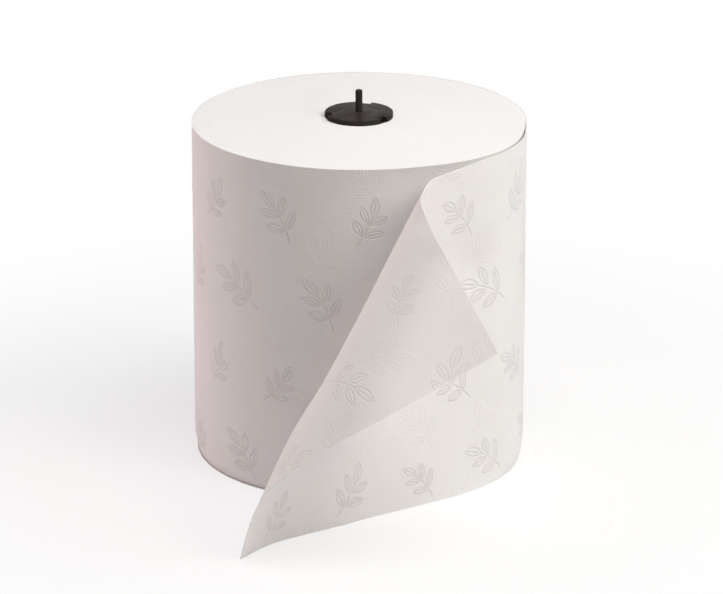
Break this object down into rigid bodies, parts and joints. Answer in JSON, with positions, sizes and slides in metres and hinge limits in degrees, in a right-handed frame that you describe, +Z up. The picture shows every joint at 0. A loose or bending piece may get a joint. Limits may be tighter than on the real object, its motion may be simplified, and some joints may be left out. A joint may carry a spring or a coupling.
{
  "type": "paper towel roll",
  "caption": "Wound roll of white embossed paper towel on a card core, standing on end with its loose end folded over at the corner, and a dark plastic plug with a central pin on top.",
  "frame": {"origin": "on the roll's axis, in the plane that the roll stands on, at the open lower end of the core", "axes": "+Z up along the roll's axis, towards the plug's pin; the loose end hangs on the -Y side"},
  "size_m": [0.1902, 0.2935, 0.2132],
  "materials": {
    "paper": "soft embossed tissue",
    "core_card": "plain wound card",
    "plug_plastic": "smooth moulded, semi-gloss"
  },
  "bodies": {
    "root": {"paper_web": "paper", "core_tube": "core_card", "end_plug": "plug_plastic"}
  },
  "joints": []
}
